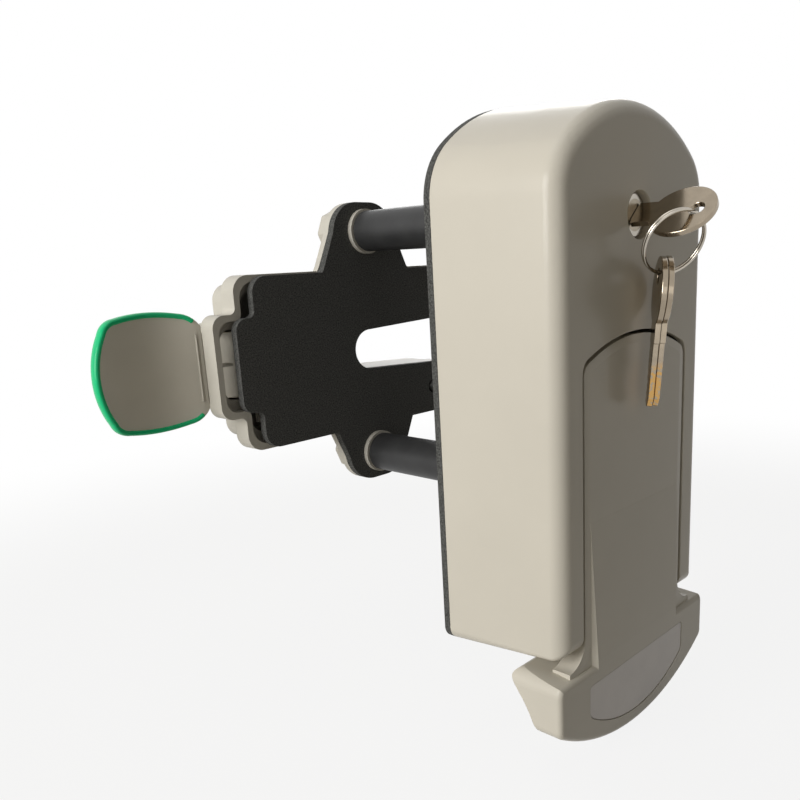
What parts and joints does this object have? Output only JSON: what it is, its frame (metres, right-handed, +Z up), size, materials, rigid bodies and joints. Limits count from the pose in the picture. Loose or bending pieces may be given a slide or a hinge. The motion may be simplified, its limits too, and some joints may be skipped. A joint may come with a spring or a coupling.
{
  "type": "cold room door handle lock",
  "caption": "Arched lockable case with swinging pull handle and spring latch, joined through the door to an inner shell with a push paddle release.",
  "frame": {"origin": "on the outer face of the door leaf, midway between the two through bolts", "axes": "+X to the right seen from outside, +Y into the door towards the room, +Z up"},
  "size_m": [0.2084, 0.2219, 0.262],
  "materials": {
    "case_paint": "warm light grey paint, satin",
    "handle_moulding": "warm light grey moulding, satin",
    "inlay": "plain panel, matt, a shade warmer than the handle",
    "foam": "black closed-cell foam",
    "plate_steel": "zinc plated sheet",
    "steel": "bright zinc plated steel",
    "latch_metal": "cast and polished",
    "chrome": "polished chrome",
    "key_metal": "nickel plated, polished",
    "plug_metal": "nickel plated plug",
    "tube_plastic": "black plastic tube",
    "shell_moulding": "light grey moulding, matt",
    "paddle_moulding": "grey moulding, satin",
    "luminous": "green luminous trim"
  },
  "bodies": {
    "case": {"housing": "case_paint", "base_plate": "plate_steel", "outer_gasket": "foam", "cover_screws": "steel", "anchor_nuts": "steel", "handle_pin": "steel", "latch_guide": "plate_steel", "guide_screws": "steel", "latch_spring": "steel", "lock_body": "chrome", "lock_nut": "steel", "sleeve_top": "tube_plastic", "sleeve_bottom": "tube_plastic", "through_bolts": "steel", "inner_shell": "shell_moulding", "inner_gasket": "foam", "bolt_caps": "shell_moulding", "paddle_pin": "steel", "lever_pin": "steel"},
    "handle": {"pull_handle": "handle_moulding", "grip_inlay": "inlay"},
    "latch": {"latch_bolt": "latch_metal"},
    "plug": {"lock_plug": "plug_metal", "lock_cam": "steel", "cam_screw": "steel"},
    "key": {"inserted_key": "key_metal"},
    "ring": {"key_ring": "key_metal"},
    "spare_left": {"spare_key_left": "key_metal"},
    "spare_right": {"spare_key_right": "key_metal"},
    "paddle": {"release_paddle": "paddle_moulding", "paddle_edging": "luminous"},
    "lever": {"release_lever": "steel"},
    "rod": {"release_rod": "steel"}
  },
  "joints": [
    {"name": "handle_pull", "type": "hinge", "parent": "case", "child": "handle", "pos_m": [0, -0.052, -0.022], "axis": [-1, 0, 0], "range_deg": [0, 22]},
    {"name": "latch_slide", "type": "slide", "parent": "case", "child": "latch", "axis": [-1, 0, 0], "range_m": [0, 0.01], "stiffness_N_per_m": 800, "springref_m": -0.004, "deforming": ["latch_spring"]},
    {"name": "rod_slide", "type": "slide", "parent": "case", "child": "rod", "axis": [0, -1, 0], "range_m": [0, 0.01]},
    {"name": "lever_turn", "type": "hinge", "parent": "case", "child": "lever", "pos_m": [-0.02, 0.119, -0.028], "axis": [0, 0, -1], "range_deg": [0, 8.7]},
    {"name": "paddle_push", "type": "hinge", "parent": "case", "child": "paddle", "pos_m": [-0.082, 0.122, 0], "axis": [0, 0, 1], "range_deg": [0, 12.6]},
    {"name": "plug_turn", "type": "hinge", "parent": "case", "child": "plug", "pos_m": [0, -0.0566, 0.0557], "axis": [0, -1, 0], "range_deg": [-90, 0]},
    {"name": "key_slide", "type": "slide", "parent": "plug", "child": "key", "axis": [0, -1, 0], "range_m": [0, 0.024]},
    {"name": "ring_swing", "type": "hinge", "parent": "key", "child": "ring", "pos_m": [0, -0.0824, 0.0557], "axis": [-0.8955, 0.2297, 0.3811], "range_deg": [0, 30]},
    {"name": "spare_left_swing", "type": "hinge", "parent": "ring", "child": "spare_left", "pos_m": [0.00126, -0.07031, 0.03384], "axis": [-0.5982, 0.7975, 0.0785], "range_deg": [-8, 8]},
    {"name": "spare_right_swing", "type": "hinge", "parent": "ring", "child": "spare_right", "pos_m": [-0.00123, -0.06906, 0.03384], "axis": [-0.5982, 0.7975, 0.0785], "range_deg": [-8, 8]}
  ],
  "couplings": [
    {"joint": "latch_slide", "follows": "handle_pull", "m_per_rad": 0.026},
    {"joint": "rod_slide", "follows": "handle_pull", "m_per_rad": 0.026},
    {"joint": "lever_turn", "follows": "handle_pull", "ratio": 0.393},
    {"joint": "paddle_push", "follows": "handle_pull", "ratio": 0.5695}
  ]
}
